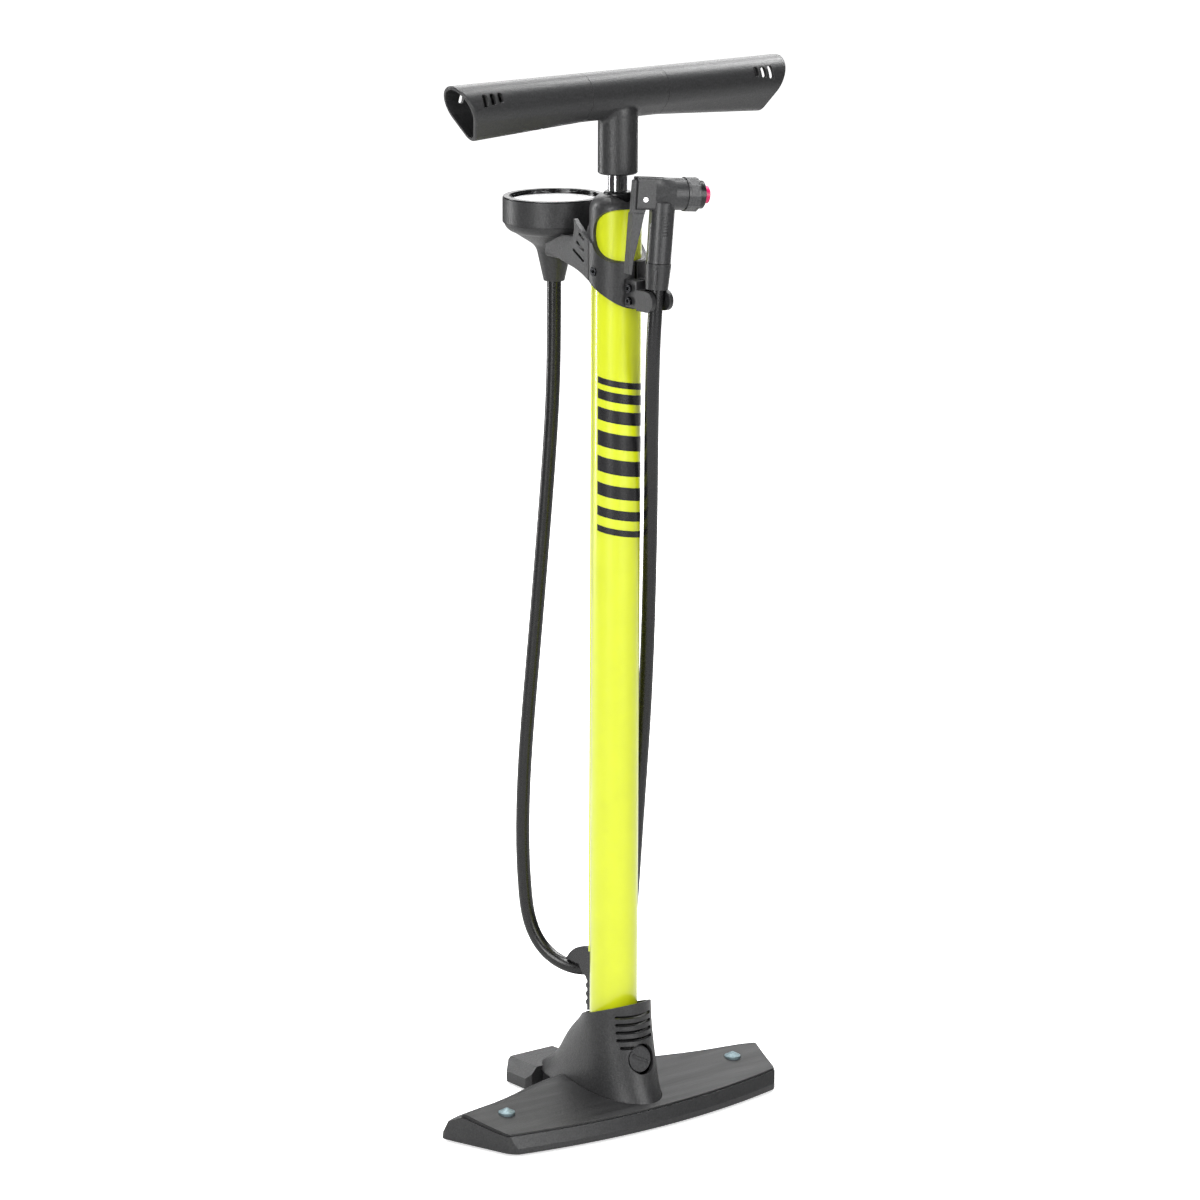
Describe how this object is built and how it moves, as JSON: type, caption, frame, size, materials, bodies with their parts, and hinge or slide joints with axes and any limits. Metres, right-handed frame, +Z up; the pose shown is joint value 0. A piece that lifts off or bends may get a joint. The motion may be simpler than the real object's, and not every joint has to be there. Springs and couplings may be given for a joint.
{
  "type": "floor bike pump",
  "caption": "Upright floor pump with a winged tread base, tall barrel, cross handle, round dial gauge, hose and lever-locked head parked in a side clip.",
  "frame": {"origin": "on the floor under the barrel's axis, at the middle of the round centre pad", "axes": "+Z up along the barrel, +X along the handle and the base wings, +Y to the back where the gauge and rear foot are; the parked head is on the -Y side"},
  "size_m": [0.2506, 0.1492, 0.661],
  "materials": {
    "base_plastic": "fine-grained dark grey moulded plastic",
    "tread_plastic": "coarse anti-slip texture on dark grey plastic",
    "steel": "zinc-plated steel",
    "pad_rubber": "matte black rubber",
    "inner_plastic": "plain engineering plastic",
    "plug_plastic": "satin dark grey plastic",
    "seal_rubber": "smooth black rubber",
    "brass": "machined brass",
    "lime_paint": "glossy lime-yellow paint on a steel tube",
    "black_plastic": "satin black plastic",
    "grey_plastic": "fine-grained dark grey plastic",
    "clip_plastic": "flexible dark grey plastic",
    "bezel_plastic": "polished dark grey plastic",
    "clear_lens": "clear polycarbonate",
    "dial_face": "printed white dial",
    "needle_paint": "red painted pointer",
    "head_plastic": "glass-filled dark grey plastic",
    "pin_steel": "polished steel pin",
    "pink_rubber": "magenta-pink moulded rubber",
    "ring_plastic": "faceted grey plastic",
    "chrome_rod": "polished chrome plate",
    "handle_plastic": "fine-grained dark grey plastic",
    "hose_rubber": "smooth black rubber hose"
  },
  "bodies": {
    "stand": {"base_chassis": "base_plastic", "cowl": "base_plastic", "tread_cover": "tread_plastic", "tread_studs": "steel", "foot_pads": "pad_rubber", "valve_block": "inner_plastic", "valve_block_screws": "steel", "access_plug": "plug_plastic", "plug_o_ring": "seal_rubber", "check_valve_seat": "brass", "check_valve_spring": "steel", "barrel_o_ring": "seal_rubber", "riser_pipe": "brass", "barrel": "lime_paint", "hose_guide": "black_plastic", "top_bumper": "seal_rubber", "rod_bush": "inner_plastic", "rod_gland": "black_plastic", "rod_wiper": "seal_rubber", "barrel_cap": "grey_plastic", "clamp_band": "grey_plastic", "band_screws": "steel", "ear_screws": "steel", "ear_nuts": "steel", "hose_clip": "clip_plastic", "gauge_case": "grey_plastic", "gauge_bezel": "bezel_plastic", "gauge_lens": "clear_lens", "gauge_dial": "dial_face", "gauge_movement": "brass", "bourdon_tube": "brass", "gauge_bowl": "grey_plastic", "gauge_socket": "brass", "head_collar": "grey_plastic", "head_barb": "brass", "head_body": "head_plastic", "lever_pin": "pin_steel", "nozzle_seal": "pink_rubber", "hose": "hose_rubber"},
    "piston_group": {"piston": "inner_plastic", "piston_seal": "seal_rubber"},
    "plunger": {"rod": "chrome_rod", "piston_nut": "steel", "piston_collar": "steel", "stem_insert": "brass", "handle_center": "handle_plastic", "grip_right": "handle_plastic", "grip_left": "handle_plastic"},
    "needle": {"gauge_needle": "needle_paint"},
    "lever": {"head_lever": "head_plastic"},
    "seal_plunger": {"squeeze_plunger": "inner_plastic"},
    "nozzle_nut": {"ring_nut": "ring_plastic", "nose_ring": "black_plastic"},
    "check_disc": {"check_valve_disc": "seal_rubber"}
  },
  "joints": [
    {"name": "pump_stroke", "type": "slide", "parent": "stand", "child": "piston_group", "axis": [0, 0, 1], "range_m": [0, 0.45]},
    {"name": "handle_turn", "type": "hinge", "parent": "piston_group", "child": "plunger", "pos_m": [0, 0, 0.3], "axis": [0, 0, 1], "continuous": true},
    {"name": "needle_swing", "type": "hinge", "parent": "stand", "child": "needle", "pos_m": [0, 0.063, 0.5767], "axis": [0, 0.0175, 0.9998], "range_deg": [-270, 0]},
    {"name": "lever_swing", "type": "hinge", "parent": "stand", "child": "lever", "pos_m": [-0.00753, -0.03426, 0.58729], "axis": [0.2915, 0.9563, -0.0229], "range_deg": [0, 95]},
    {"name": "squeeze_slide", "type": "slide", "parent": "stand", "child": "seal_plunger", "axis": [0.9534, -0.2924, -0.075], "range_m": [0, 0.0009]},
    {"name": "nut_turn", "type": "hinge", "parent": "stand", "child": "nozzle_nut", "pos_m": [0.02116, -0.04297, 0.58855], "axis": [0.9534, -0.2924, -0.075], "continuous": true},
    {"name": "valve_lift", "type": "slide", "parent": "stand", "child": "check_disc", "axis": [0, 0, -1], "range_m": [0, 0.0011], "stiffness_N_per_m": 20}
  ],
  "couplings": [
    {"joint": "squeeze_slide", "follows": "lever_swing", "m_per_rad": 0.0005428}
  ]
}
